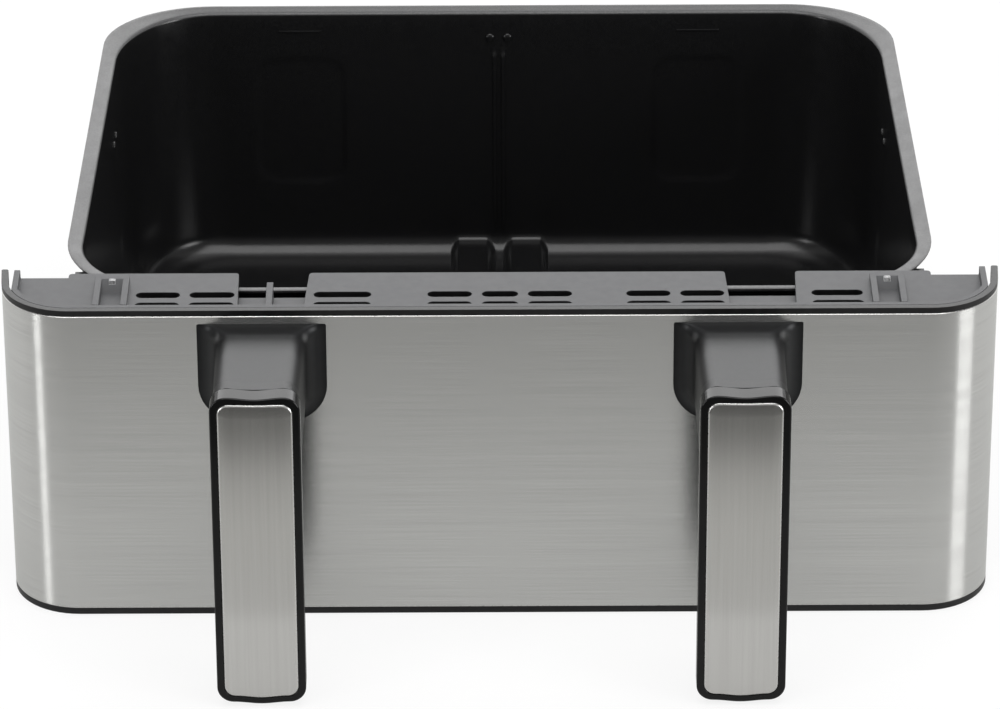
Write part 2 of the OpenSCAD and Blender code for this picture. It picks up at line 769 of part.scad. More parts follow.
// Cross-section of the handle at a distance in front of the face: round corners, elliptical lower
// ones, and an upper side that dips towards its middle as it nears the frame.
function handle_ring(y, set_in, foot, rx, rz, r) =
    let (
        f = flare(y),
        t = along(y, frame_back),
        half = neck_w / 2 + (base_w - neck_w) / 2 * f
            + (grip_half - neck_w / 2) * along(y, grip_back + grip_round) - set_in,
        neck_top = base_top - neck_dip + (grip_top - gap - base_top + neck_dip) * t,
        top = neck_top + (base_top - neck_top) * min(3 * f, 1) - set_in,
        dip = frame_dip * t,
        steps = 6,
        span = half - r,
        pts = concat(
            arc([half - r, top - r], r, r, 0, 90, 5),
            [for (i = [1 : steps - 1]) let (x = span * (1 - 2 * i / steps))
                [x, top - max(dip * (1 - pow(x / span, 2)), 0)]],
            arc([r - half, top - r], r, r, 90, 180, 5),
            arc([rx - half, foot + rz], rx, rz, 180, 270, 8),
            arc([half - rx, foot + rz], rx, rz, 270, 360, 8)
        )
    )
    [for (p = pts) [p.x, -y, p.y]];

// Cross-section of the base and the neck.
function neck_ring(y) =
    let (
        f = flare(y),
        t = along(y, frame_back),
        w = along(y, grip_back + grip_round),
        half = neck_w / 2 + (base_w - neck_w) / 2 * f,
        foot = base_foot + neck_rise * (1 - f) - neck_web * pow(w, 3),
        rx = neck_low_r + (half - neck_low_r - bite) * f,
        rz = neck_low_r + (base_low_r - neck_low_r) * f
    )
    handle_ring(y, 0, foot, rx, rz, base_corner_r + (neck_r - base_corner_r) * (1 - f));

// Cross-section of the grip, set in from its full size.
function grip_section(y, set_in) =
    handle_ring(y, set_in, grip_foot + gap + set_in, neck_r, neck_r, neck_r);

module handle_body() {
    base_stations = [for (u = [0, 0.02, 0.06, 0.14, 0.26, 0.42, 0.64, 1]) u * flare_d];
    steps = 8;
    neck_stations = [for (i = [1 : steps]) flare_d + (frame_back - flare_d) * i / steps];
    color("#1b1b1c") difference() {
        union() {
            loft([for (y = concat(base_stations, neck_stations)) neck_ring(y)]);
            loft(concat(
                [for (i = [0 : 6]) let (a = 15 * i)
                    grip_section(grip_back + grip_round * (1 - cos(a)), grip_round * (1 - sin(a)))],
                [grip_section(frame_back, 0)]
            ));
        }
        for (z = [-1, 1]) {
            rod_y(0, handle_screw_z + z * handle_screw_pitch / 2, handle_screw_d + 2 * thread_gap,
                -handle_screw_in - pilot_gap, over);
        }
        for (z = grip_screw_z) {
            rod_y(0, z, small_screw_d * head_ratio + 2 * head_gap, screw_seat - frame_back,
                over - grip_back);
            rod_y(0, z, small_screw_d + 2 * gap, -reach, -grip_back);
        }
    }
}

// Outline of a frame or its inlay, set in by a distance, with the slight dip of its upper edge.
module frame_outline(inset) {
    half_span = frame_w / 2 - neck_r / 3;
    dip_r = half_span * half_span / 2 / frame_dip;
    difference() {
        round_rect(frame_w - 2 * inset, grip_foot + inset, grip_top - inset, frame_r - inset * 0.7);
        translate([0, grip_top - inset + dip_r - frame_dip]) circle(r = dip_r, $fn = 180);
    }
}

module handle_frame() {
    color("#0c0c0d") difference() {
        plate_y(-reach, -frame_back) frame_outline(0);
        plate_y(-reach - over, -reach + plate_t) frame_outline(border);
        for (z = grip_screw_z) {
            rod_y(0, z, small_screw_d + 2 * thread_gap, -reach + pilot_wall, -frame_back + over);
        }
    }
}

module handle_plate() {
    color("#a7a6a3") plate_y(-reach, -reach + plate_t) frame_outline(border);
}

module clamp_plate() {
    color("silver") plate_y(wall_in, wall_in + clamp_t) difference() {
        round_rect(clamp_w, handle_screw_z - clamp_h / 2, handle_screw_z + clamp_h / 2, sheet_r);
        for (z = [-1, 1]) translate([0, handle_screw_z + z * handle_screw_pitch / 2])
            circle(d = handle_screw_d + 2 * gap, $fn = 40);
    }
}

// ---- Screws --------------------------------------------------------------------------------

// Screw along y with its head's seat at y_head, driven towards y_tip.
module screw(x, z, d, y_head, y_tip) {
    head_h = 0.6 * d;
    head_d = head_ratio * d;
    rod_y(x, z, d, min(y_head, y_tip), max(y_head, y_tip));
    if (y_tip < y_head) {
        rod_y(x, z, head_d, y_head, y_head + head_h);
    } else {
        rod_y(x, z, head_d, y_head - head_h, y_head);
    }
}

module handle_screws() {
    color("gray") for (z = [-1, 1]) {
        screw(0, handle_screw_z + z * handle_screw_pitch / 2, handle_screw_d, wall_in + clamp_t,
            -handle_screw_in);
    }
}

module frame_screws() {
    color("gray") for (z = grip_screw_z) {
        screw(0, z, small_screw_d, screw_seat - frame_back, pilot_wall + pilot_gap - reach);
    }
}

module cover_screws() {
    color("gray") for (p = concat(cover_screw_low, cover_screw_high)) {
        screw(p.x, p.y, small_screw_d, cover_back, cavity_depth - small_screw_in);
    }
}

module bracket_screws() {
    color("gray") for (p = bracket_screw_at) {
        screw(p.x, p.y, small_screw_d, bracket_back, cavity_depth - small_screw_in);
    }
}

// Moves a piece so that the drawer's box is centred over the origin.
module centred() {
    translate([0, -drawer_mid, 0]) children();
}

// Moves a handle's piece to the left or the right handle.
module on_handle(side) {
    centred() translate([side * handle_x, 0, 0]) children();
}

centred() pan();
centred() pan_bracket();
centred() heat_shield();
centred() back_cover();
centred() deck_cover();
centred() front_shell();
centred() steel_fascia();
on_handle(-1) handle_body();  // left_handle_body
on_handle(1) handle_body();  // right_handle_body
on_handle(-1) handle_frame();  // left_handle_frame
on_handle(1) handle_frame();  // right_handle_frame
on_handle(-1) handle_plate();  // left_handle_plate
on_handle(1) handle_plate();  // right_handle_plate
on_handle(-1) clamp_plate();  // left_clamp_plate
on_handle(1) clamp_plate();  // right_clamp_plate
on_handle(-1) handle_screws();  // left_handle_screws
on_handle(1) handle_screws();  // right_handle_screws
on_handle(-1) frame_screws();  // left_frame_screws
on_handle(1) frame_screws();  // right_frame_screws
centred() cover_screws();
centred() bracket_screws();
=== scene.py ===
from math import cos, pi, radians, sin, sqrt, tan

import bmesh
import bpy
from mathutils import Matrix, Vector


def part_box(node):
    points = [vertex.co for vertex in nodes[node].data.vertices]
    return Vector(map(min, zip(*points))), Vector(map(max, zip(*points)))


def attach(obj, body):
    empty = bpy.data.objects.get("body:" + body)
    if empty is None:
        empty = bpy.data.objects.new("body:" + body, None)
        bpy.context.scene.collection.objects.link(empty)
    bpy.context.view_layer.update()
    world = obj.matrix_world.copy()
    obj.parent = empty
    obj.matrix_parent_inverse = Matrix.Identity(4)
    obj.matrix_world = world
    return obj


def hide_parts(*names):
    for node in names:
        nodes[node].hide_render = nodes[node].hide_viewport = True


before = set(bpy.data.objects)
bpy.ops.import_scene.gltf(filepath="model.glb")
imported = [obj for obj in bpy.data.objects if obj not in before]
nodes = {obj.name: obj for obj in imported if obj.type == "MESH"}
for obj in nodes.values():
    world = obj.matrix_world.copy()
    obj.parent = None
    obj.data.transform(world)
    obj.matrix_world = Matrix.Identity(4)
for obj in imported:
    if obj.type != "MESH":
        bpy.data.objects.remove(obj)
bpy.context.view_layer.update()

# ---- Studio ---------------------------------------------------------------------------------
# A pale floor under a bright, even sweep, as in a product studio: a softbox overhead, a wide one
# behind, and a strip at each side that draws the light bands on the round ends of the steel.
MM = 0.001
face_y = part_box("steel_fascia")[0].y        # front face of the drawer
studio = bpy.context.scene
studio.view_settings.view_transform = "Standard"


def shader(name):
    """A new material with its node tree and its main shader."""
    mat = bpy.data.materials.new(name)
    mat.use_nodes = True
    return mat, mat.node_tree, mat.node_tree.nodes["Principled BSDF"]


def link(tree, source, out, node, into):
    """Joins one node's output to another's input."""
    tree.links.new(source.outputs[out], node.inputs[into])


def finished(name, bm, mat, smooth=True):
    """Makes the object of a finished mesh, at the origin. Corners of over 40 degrees stay crisp."""
    crisp = radians(40)
    for face in bm.faces:
        face.smooth = smooth
    for edge in bm.edges:
        edge.smooth = not (edge.is_manifold and edge.calc_face_angle(0) > crisp)
    mesh = bpy.data.meshes.new(name)
    bm.to_mesh(mesh)
    bm.free()
    obj = bpy.data.objects.new(name, mesh)
    bpy.context.collection.objects.link(obj)
    mesh.materials.append(mat)
    return obj


camera_distance = 1.98139                   # in front of the steel
camera_height = 1.15032
camera_pitch = 62.5
camera_roll = -0.235
cam = bpy.data.cameras.new("camera")
cam.sensor_width = 36
cam.lens = 201.6
cam_obj = bpy.data.objects.new("camera", cam)
bpy.context.collection.objects.link(cam_obj)
cam_obj.matrix_world = (Matrix.Translation((0, face_y - camera_distance, camera_height))
    @ Matrix.Rotation(radians(camera_pitch), 4, "X")
    @ Matrix.Rotation(radians(camera_roll), 4, "Z"))
studio.camera = cam_obj

floor_radius, floor_drop = 14, 0.4 * MM
floor_glow = 0.85                           # share of its own white that the camera sees
mirrored_glow = 0.6                         # share of the painted falloff that glows for the steel to mirror
# (distance in front of the steel, grey, blue): painted shade, deeper towards the viewer, standing in
# for light that falls off
painted_floor_falloff = ((0.140, 0.60, 0.592), (0.150, 0.50, 0.49), (0.22, 0.47, 0.4559),
    (0.262, 0.38, 0.3686), (0.302, 0.13, 0.1261), (0.6, 0.10, 0.097))

floor_mat, tree, plain = shader("floor")
plain.inputs["Roughness"].default_value = 0.9
plain.inputs["Specular IOR Level"].default_value = 0.1
where = tree.nodes.new("ShaderNodeTexCoord")
place = tree.nodes.new("ShaderNodeSeparateXYZ")
link(tree, where, "Object", place, "Vector")
ahead = tree.nodes.new("ShaderNodeMath")
ahead.operation = "SUBTRACT"
ahead.inputs[0].default_value = face_y
link(tree, place, "Y", ahead, 1)
tone = tree.nodes.new("ShaderNodeValToRGB")
link(tree, ahead, "Value", tone, "Fac")
tone_steps = tone.color_ramp.elements
for k, (at, grey, blue) in enumerate(painted_floor_falloff):
    step = tone_steps[k] if k < len(tone_steps) else tone_steps.new(at)
    step.position = at
    step.color = (grey, grey, blue, 1)
# Painted shade: the floor's colour darkens with distance in front of the steel, and the steel mirrors
# it as a painted reflection.
link(tree, tone, "Color", plain, "Base Color")
painted_falloff_glow = tree.nodes.new("ShaderNodeEmission")
link(tree, tone, "Color", painted_falloff_glow, "Color")
path = tree.nodes.new("ShaderNodeLightPath")
glossy_part = tree.nodes.new("ShaderNodeMath")
glossy_part.operation = "MULTIPLY"
glossy_part.inputs[1].default_value = mirrored_glow
link(tree, path, "Is Glossy Ray", glossy_part, 0)
mirrored = tree.nodes.new("ShaderNodeMixShader")
link(tree, glossy_part, "Value", mirrored, "Fac")
link(tree, plain, "BSDF", mirrored, 1)
link(tree, painted_falloff_glow, "Emission", mirrored, 2)
pale = tree.nodes.new("ShaderNodeBsdfDiffuse")
pale.inputs["Color"].default_value = (1, 1, 1, 1)
glow = tree.nodes.new("ShaderNodeEmission")
glow.inputs["Color"].default_value = (1, 1, 1, 1)
seen = tree.nodes.new("ShaderNodeMixShader")
seen.inputs["Fac"].default_value = floor_glow
link(tree, pale, "BSDF", seen, 1)
link(tree, glow, "Emission", seen, 2)
pick = tree.nodes.new("ShaderNodeMixShader")
link(tree, path, "Is Camera Ray", pick, "Fac")
link(tree, mirrored, "Shader", pick, 1)
link(tree, seen, "Shader", pick, 2)
link(tree, pick, "Shader", tree.nodes["Material Output"], "Surface")

bm = bmesh.new()
bmesh.ops.create_circle(bm, cap_ends=True, segments=64, radius=floor_radius)
bmesh.ops.translate(bm, verts=bm.verts, vec=(0, 0, -floor_drop))
floor = finished("floor", bm, floor_mat, smooth=False)

sky_front, sky_back = 0.25, 0.9             # tone of the sweep before and behind the drawer
world = bpy.data.worlds.new("studio")
studio.world = world
world.use_nodes = True
tree = world.node_tree
way = tree.nodes.new("ShaderNodeTexCoord")
ray = tree.nodes.new("ShaderNodeSeparateXYZ")
link(tree, way, "Generated", ray, "Vector")
sweep_tone = tree.nodes.new("ShaderNodeMapRange")
sweep_tone.interpolation_type = "SMOOTHSTEP"
sweep_tone.inputs["From Min"].default_value = -0.5
sweep_tone.inputs["From Max"].default_value = 0.85
sweep_tone.inputs["To Min"].default_value = sky_front
sweep_tone.inputs["To Max"].default_value = sky_back
link(tree, ray, "Y", sweep_tone, "Value")
path = tree.nodes.new("ShaderNodeLightPath")
white = tree.nodes.new("ShaderNodeMath")
white.operation = "MAXIMUM"
link(tree, path, "Is Camera Ray", white, 0)
link(tree, sweep_tone, "Result", white, 1)
sky = tree.nodes["Background"]
sky.inputs["Strength"].default_value = 1.0
link(tree, white, "Value", sky, "Color")


def softbox(name, at, width, height, radiance):
    """Area light that faces the drawer and gives the same light from every part of it."""
    data = bpy.data.lights.new(name, "AREA")
    data.shape = "RECTANGLE"
    data.size = width
    data.size_y = height
    data.energy = radiance * pi * width * height
    obj = bpy.data.objects.new(name, data)
    bpy.context.collection.objects.link(obj)
    middle = Vector((0, 0, 70 * MM))
    obj.location = at
    obj.rotation_mode = "QUATERNION"
    obj.rotation_quaternion = (middle - Vector(at)).to_track_quat("-Z", "Y")
    obj.visible_camera = False


softbox("overhead", at=(0, -0.4, 1.9), width=1.8, height=1.5, radiance=2.6)
softbox("behind", at=(0, 3.0, 1.5), width=3.4, height=1.7, radiance=2.1)
softbox("left_strip", at=(-2.1, -1.46, 0.66), width=0.42, height=1.32, radiance=7.4)
softbox("right_strip", at=(2.2, -1.2, 0.66), width=1.05, height=1.32, radiance=6.4)

# ---- Steel skin -----------------------------------------------------------------------------
# One strip of stainless steel, 0.6 mm thick, brushed along its length and folded round the front.
# Its upper edge is rolled to a polished facet, and its lower one is rounded.
front_flat = 343.6 * MM
corner_r = 28.3 * MM
corner_sweep = 86
front_depth = 37.5 * MM
skin_t = 0.6 * MM
skin_low, skin_high = (v.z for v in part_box("steel_fascia"))
bend_angle = radians(corner_sweep)
lean = radians(90 - corner_sweep)           # of the returns, past the corners
return_len = (front_depth - corner_r * (1 - cos(bend_angle))) / sin(bend_angle)
bend_steps, foot_steps, facet_steps = 26, 4, 5


def noise_group(name):
    """Noise in two sizes: the fine lines or pores of a finish and its broader cloudiness."""
    broad_share, broad_detail = 0.11, 2
    group = bpy.data.node_groups.new(name, "ShaderNodeTree")
    face = group.interface
    face.new_socket("Vector", in_out="INPUT", socket_type="NodeSocketVector")
    face.new_socket("Scale", in_out="INPUT", socket_type="NodeSocketFloat")
    face.new_socket("Detail", in_out="INPUT", socket_type="NodeSocketFloat")
    face.new_socket("Fine", in_out="OUTPUT", socket_type="NodeSocketFloat")
    face.new_socket("Broad", in_out="OUTPUT", socket_type="NodeSocketFloat")
    start = group.nodes.new("NodeGroupInput")
    end = group.nodes.new("NodeGroupOutput")
    fine = group.nodes.new("ShaderNodeTexNoise")
    link(group, start, "Vector", fine, "Vector")
    link(group, start, "Scale", fine, "Scale")
    link(group, start, "Detail", fine, "Detail")
    shrink = group.nodes.new("ShaderNodeMath")
    shrink.operation = "MULTIPLY"
    shrink.inputs[1].default_value = broad_share
    link(group, start, "Scale", shrink, 0)
    broad = group.nodes.new("ShaderNodeTexNoise")
    broad.inputs["Detail"].default_value = broad_detail
    link(group, start, "Vector", broad, "Vector")
    link(group, shrink, "Value", broad, "Scale")
    link(group, fine, "Fac", end, "Fine")
    link(group, broad, "Fac", end, "Broad")
    return group


grain_group = noise_group("grain")


def grain(tree, stretch, scale, detail):
    """Places the grain on an object's own coordinates, stretched by a factor on each axis."""
    where = tree.nodes.new("ShaderNodeTexCoord")
    mapping = tree.nodes.new("ShaderNodeMapping")
    mapping.inputs["Scale"].default_value = stretch
    link(tree, where, "Object", mapping, "Vector")
    node = tree.nodes.new("ShaderNodeGroup")
    node.node_tree = grain_group
    node.inputs["Scale"].default_value = scale
    node.inputs["Detail"].default_value = detail
    link(tree, mapping, "Vector", node, "Vector")
    return node


def ranged(tree, noise, out, low, high):
    """Spreads the middle of a noise over a range of values."""
    node = tree.nodes.new("ShaderNodeMapRange")
    node.inputs["From Min"].default_value = 0.3
    node.inputs["From Max"].default_value = 0.7
    node.inputs["To Min"].default_value = low
    node.inputs["To Max"].default_value = high
    link(tree, noise, out, node, "Value")
    return node


def tinted(tree, noise, out, dark, light, shade):
    """Lets the base colour wander between two tones."""
    mix = tree.nodes.new("ShaderNodeMix")
    mix.data_type = "RGBA"
    mix.inputs["A"].default_value = (*dark, 1)
    mix.inputs["B"].default_value = (*light, 1)
    link(tree, ranged(tree, noise, out, 0, 1), "Result", mix, "Factor")
    mixed_colour = mix.outputs[2]
    tree.links.new(mixed_colour, shade.inputs["Base Color"])


def roughened(tree, noise, out, low, high, shade):
    """Lets the roughness wander between two values."""
    link(tree, ranged(tree, noise, out, low, high), "Result", shade, "Roughness")


def bumped(tree, noise, strength, distance, shade):
    """Raises the fine noise from the surface."""
    bump = tree.nodes.new("ShaderNodeBump")
    bump.inputs["Strength"].default_value = strength
    bump.inputs["Distance"].default_value = distance
    link(tree, noise, "Fine", bump, "Height")
    link(tree, bump, "Normal", shade, "Normal")


def brushed(name, stretch, dark, light, rough, rough_spread, turn, bump):
    """Brushed stainless steel, whose lines run along the axes that are stretched least."""
    mat, tree, shade = shader(name)
    shade.inputs["Metallic"].default_value = 1
    shade.inputs["Anisotropic"].default_value = 1.0
    shade.inputs["Anisotropic Rotation"].default_value = turn
    lines = grain(tree, stretch, 1.0, 4)
    tinted(tree, lines, "Fine", dark, light, shade)
    roughened(tree, lines, "Broad", rough - rough_spread, rough + rough_spread, shade)
    stroke_share = 3.5                      # the strokes that are felt are finer than those seen
    strokes = grain(tree, tuple(v * stroke_share for v in stretch), 1.0, 2)
    bumped(tree, strokes, 1.0, bump, shade)
    run = tree.nodes.new("ShaderNodeTangent")
    run.direction_type = "RADIAL"
    run.axis = "Z"
    link(tree, run, "Tangent", shade, "Tangent")
    return mat


steel_mat = brushed("brushed_steel", stretch=(17, 17, 2600), dark=(0.672, 0.672, 0.657),
    light=(0.748, 0.748, 0.733), rough=0.25, rough_spread=0.02, turn=0.25, bump=0.01 * MM)

polish_mat, tree, shade = shader("polished_edge")
shade.inputs["Metallic"].default_value = 1
shade.inputs["Base Color"].default_value = (0.80, 0.795, 0.775, 1)
rub = grain(tree, (900, 900, 900), 1.0, 3)
roughened(tree, rub, "Fine", 0.26, 0.30, shade)
bumped(tree, rub, 0.02, 0.01 * MM, shade)


def pulled(bm, edges, vec):
    """Draws edges straight on, and gives the new ones."""
    made = bmesh.ops.extrude_edge_only(bm, edges=edges)["geom"]
    fresh = [g for g in made if isinstance(g, bmesh.types.BMVert)]
    bmesh.ops.translate(bm, verts=fresh, vec=vec)
    return [g for g in made if isinstance(g, bmesh.types.BMEdge) and all(v in fresh for v in g.verts)]


def bent(bm, edges, centre):
    """Carries edges round an upright corner of the front, and gives the last ones."""
    verts = list(dict.fromkeys(v for e in edges for v in e.verts))
    turned = bmesh.ops.spin(bm, geom=verts + edges, cent=centre, axis=(0, 0, 1), dvec=(0, 0, 0),
        angle=bend_angle, steps=bend_steps, use_duplicate=False)["geom_last"]
    return [g for g in turned if isinstance(g, bmesh.types.BMEdge)]


def evened(obj):
    """Keeps the shading of large faces flat beside their rounded edges."""
    hold = obj.modifiers.new("even_normals", "WEIGHTED_NORMAL")
    hold.keep_sharp = True
    return obj


def front_strip(name, profile, mat):
    """Closed strip round the front from a section of (distance in, height) pairs."""
    bm = bmesh.new()
    half = front_flat / 2
    rear = face_y + front_depth
    bend_end_x = -(half + corner_r * sin(bend_angle))
    bend_end_y = face_y + corner_r * (1 - cos(bend_angle))
    tip = Vector((bend_end_x - (rear - bend_end_y) * tan(lean), rear, 0))
    inward = Vector((cos(lean), sin(lean), 0))
    section = [bm.verts.new(tip + inward * d + Vector((0, 0, z))) for d, z in profile]
    left_end = [bm.edges.new((a, b)) for a, b in zip(section, section[1:] + section[:1])]
    edges = pulled(bm, left_end, (return_len * sin(lean), -return_len * cos(lean), 0))
    edges = bent(bm, edges, (-half, face_y + corner_r, 0))
    edges = pulled(bm, edges, (front_flat, 0, 0))
    edges = bent(bm, edges, (half, face_y + corner_r, 0))
    right_end = pulled(bm, edges, (return_len * sin(lean), return_len * cos(lean), 0))
    bmesh.ops.edgeloop_fill(bm, edges=left_end)
    bmesh.ops.edgeloop_fill(bm, edges=right_end)
    bmesh.ops.remove_doubles(bm, verts=bm.verts, dist=0.0001 * MM)
    bmesh.ops.recalc_face_normals(bm, faces=bm.faces)
    return evened(finished(name, bm, mat))


def arc_points(centre, radius, start, stop, steps):
    """Points of an arc between two angles."""
    angles = [radians(start + (stop - start) * i / steps) for i in range(steps + 1)]
    return [(centre[0] + radius * cos(a), centre[1] + radius * sin(a)) for a in angles]


foot_r = 0.4 * MM
facet_low, facet_high = 42, 62              # lean of the polished facet along the upper edge
facet_in = 0.46 * MM
facet_r = facet_in / (cos(radians(facet_low)) - cos(radians(facet_high)))
facet_x = facet_r * cos(radians(facet_low))
facet_z = skin_high - facet_r * sin(radians(facet_high))
skin_section = (arc_points((foot_r, skin_low + foot_r), foot_r, 270, 180, foot_steps)
    + arc_points((facet_x, facet_z), facet_r, 180 - facet_low, 180 - facet_high, facet_steps)
    + [(skin_t, skin_high), (skin_t, skin_low)])
skin = front_strip("steel_skin", skin_section, steel_mat)
skin.data.materials.append(polish_mat)
edge_tilt = 0.12                            # faces that lean more than this belong to an edge
for face in skin.data.polygons:
    if abs(face.normal.z) > edge_tilt:
        face.material_index = 1
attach(skin, "root")
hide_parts("steel_fascia")

# ---- Shell, back cover and heat shield ------------------------------------------------------
# The black moulded shell is the body of the drawer's front. It carries the steel, shows above and
# below it as a thin trim, and ends in a prong at each side. A cover and a shield close its back.


def moulded(name, specular, pores, dark, light, rough, pit_strength, pit_depth, gleam=(1, 1, 1)):
    """Moulded plastic: fine pores, and a faint cloudiness in its colour."""
    mat, tree, shade = shader(name)
    shade.inputs["Specular IOR Level"].default_value = specular
    shade.inputs["Specular Tint"].default_value = (*gleam, 1)
    texture = grain(tree, (1, 1, 1), pores, 2)
    tinted(tree, texture, "Broad", dark, light, shade)
    roughened(tree, texture, "Fine", *rough, shade)
    bumped(tree, texture, pit_strength, pit_depth, shade)
    return mat


def plated(name, spangle, dark, light, rough):
    """Zinc-plated steel, with a spangle in its tone."""
    mat, tree, shade = shader(name)
    shade.inputs["Metallic"].default_value = 1
    texture = grain(tree, (1, 1, 1), spangle, 3)
    tinted(tree, texture, "Broad", dark, light, shade)
    roughened(tree, texture, "Fine", *rough, shade)
    bumped(tree, texture, 0.1, 0.03 * MM, shade)
    return mat


def put(obj, mat):
    """Gives a carried-over piece its material."""
    obj.data.materials.clear()
    obj.data.materials.append(mat)


def worked(name, node, rounds, mat):
    """Copy of a node's mesh with its edges rounded, which then stands for the node.

    Each round is a radius and a test of an edge's lowest and highest corner."""
    crisp, flat = radians(35), radians(0.6)
    bm = bmesh.new()
    bm.from_mesh(nodes[node].data)
    bmesh.ops.remove_doubles(bm, verts=bm.verts, dist=0.002 * MM)
    bmesh.ops.dissolve_limit(bm, angle_limit=flat, verts=bm.verts, edges=bm.edges,
        delimit={"NORMAL"})
    for radius, chosen in rounds:
        picked = []
        for edge in bm.edges:
            if not edge.is_manifold or edge.calc_face_angle(0) < crisp:
                continue
            a, b = (v.co for v in edge.verts)
            low = Vector(min(p, q) for p, q in zip(a, b))
            high = Vector(max(p, q) for p, q in zip(a, b))
            if chosen(low, high):
                picked.append(edge)
        bmesh.ops.bevel(bm, geom=picked, offset=radius, offset_type="OFFSET", segments=3,
            profile=0.5, affect="EDGES", clamp_overlap=False, material=-1)
    bmesh.ops.triangulate(bm, faces=[f for f in bm.faces if len(f.verts) > 4])
    obj = evened(finished(name, bm, mat))
    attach(obj, "root")
    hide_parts(node)
    return obj


mould_mat = moulded("moulded_black", specular=0.38, pores=2600, dark=(0.007, 0.007, 0.0073),
    light=(0.012, 0.012, 0.0125), rough=(0.3, 0.42), pit_strength=0.25, pit_depth=0.04 * MM)
sheet_mat = plated("plated_sheet", spangle=260, dark=(0.42, 0.42, 0.42), light=(0.58, 0.58, 0.57),
    rough=(0.3, 0.44))

shell_end, band_low = face_y + front_depth, skin_high + 2 * MM
near = 0.1 * MM                             # slack in telling where an edge lies
tall = 1 * MM                               # a longer rise than this makes an edge upright
prong_round, band_round, shell_round = 0.8 * MM, 0.12 * MM, 0.3 * MM


def shell_tip(low, high):
    """The upright edges at the rear ends of the shell's wall."""
    return low.y > shell_end - near and high.z - low.z > tall and low.z > near


def top_edge(low, high):
    """The edges of the narrow bands along the top of the front."""
    return low.z > band_low


def anywhere(low, high):
    """All the edges that are left."""
    return True


shell = worked("moulded_shell", "front_shell",
    [(prong_round, shell_tip), (band_round, top_edge), (shell_round, anywhere)], mould_mat)
put(nodes["back_cover"], mould_mat)
put(nodes["heat_shield"], sheet_mat)

# ---- Deck cover -----------------------------------------------------------------------------
# A cover with a fine spark texture closes the top of the front, grey partly by painted sheen. It is
# moulded with a lip round its edge, two rows of vent slots, two notches with trays, and a pocket for a
# catch near each end.


def coated(name, specks, dark, light, rough, speck_strength, speck_height, specular=0.5, metallic=0):
    """Sprayed or rubbed surface: specks that stand out in tone and height."""
    mat, tree, shade = shader(name)
    shade.inputs["Specular IOR Level"].default_value = specular
    shade.inputs["Metallic"].default_value = metallic
    texture = grain(tree, (1, 1, 1), specks, 3)
    tinted(tree, texture, "Fine", dark, light, shade)
    roughened(tree, texture, "Broad", *rough, shade)
    bumped(tree, texture, speck_strength, speck_height, shade)
    return mat


# The deck's grey is partly its own tone and partly painted sheen, the gleam its black plastic takes
# from the bright sweep behind.
deck_mat = moulded("deck_plastic", specular=0.22, pores=2200, dark=(0.099, 0.1, 0.104),
    light=(0.111, 0.112, 0.116), rough=(0.42, 0.52), pit_strength=0.24, pit_depth=0.05 * MM)
worn_mat = coated("rubbed_plastic", specks=1300, dark=(0.16, 0.16, 0.165),
    light=(0.62, 0.62, 0.62), rough=(0.45, 0.6), speck_strength=0.4, speck_height=0.1 * MM,
    specular=0.3)

deck_rear, lip_rear = face_y + 41.3 * MM, face_y + 37.5 * MM
lip_end_x = 180 * MM                        # only the ends of the lip lie further out than this
corner_round, lip_round, deck_round = 1.5 * MM, 1.0 * MM, 0.22 * MM


def deck_corner(low, high):
    """The upright edges at the deck's rear corners."""
    return low.y > deck_rear - near and high.z - low.z > tall


def lip_tip(low, high):
    """The upright edges at the rear ends of the lip."""
    return low.y > lip_rear - near and high.z > skin_high and min(abs(low.x), abs(high.x)) > lip_end_x


deck = worked("moulded_deck", "deck_cover", [(corner_round, deck_corner), (lip_round, lip_tip),
    (band_round, top_edge), (deck_round, anywhere)], deck_mat)
deck.data.materials.append(mould_mat)
deck.data.materials.append(worn_mat)

# The walls of the slots take the black moulding's material: painted shade, as if the dark inside
# of the drawer lay beneath the cover. The nub at the head of each pocket is rubbed pale by the catch.
slot_rows = [face_y + 12.8 * MM, face_y + 21.8 * MM]
slot_half, slots_out = 2.6 * MM, 150 * MM
slot_low, slot_high = 132 * MM, 134.9 * MM
nub_x, nub_half, nub_low = 155.8 * MM, 1.7 * MM, 133 * MM
nub_front, nub_rear = face_y + 28.9 * MM, face_y + 31.2 * MM
upright = 0.5                               # a wall's normal points up by less than this
for face in deck.data.polygons:
    c = face.center
    in_row = any(abs(c.y - row) < slot_half for row in slot_rows) and abs(c.x) < slots_out
    # Painted shade on the upright walls of the slots.
    if in_row and abs(face.normal.z) < upright and slot_low < c.z < slot_high:
        face.material_index = 1
    if abs(abs(c.x) - nub_x) < nub_half and nub_front < c.y < nub_rear and c.z > nub_low:
        face.material_index = 2

# ---- Pan ------------------------------------------------------------------------------------
# Pressed from 1.4 mm steel sheet with a non-stick coat. A seat for the divider is pressed up in
# the floor, and panels in the walls. The rim is a flat flange that hangs in the appliance.
rim_front, rim_back = face_y + 33.2 * MM, face_y + 316 * MM
rim_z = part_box("pan")[1].z
rim_half, rim_taper = 177.2 * MM, 2.7 * MM
rim_flange, rim_front_flange = 6.4 * MM, 4.2 * MM
outer_front, outer_rear = (42 * MM, 47 * MM), (47 * MM, 41 * MM)    # corners: across, along
well_front, well_rear = (41 * MM, 41 * MM), (42 * MM, 50 * MM)
pan_t = 1.4 * MM
pan_depth = 116.5 * MM
floor_z = rim_z - pan_depth
floor_r = 10 * MM
wall_lean = radians(3)
draft = tan(wall_lean)
corner_tighten = 0.4                        # loss of corner radius per inset of the wall
hump_h, hump_in, hump_out = 5.6 * MM, 5.3 * MM, 19 * MM
valley_half, hump_foot = 1.8 * MM, 21.8 * MM
hump_root, hump_brow, wall_blend = 1.2 * MM, 2.2 * MM, 3.4 * MM     # widths of their soft edges
side_panel = (face_y + 127 * MM, face_y + 216 * MM)
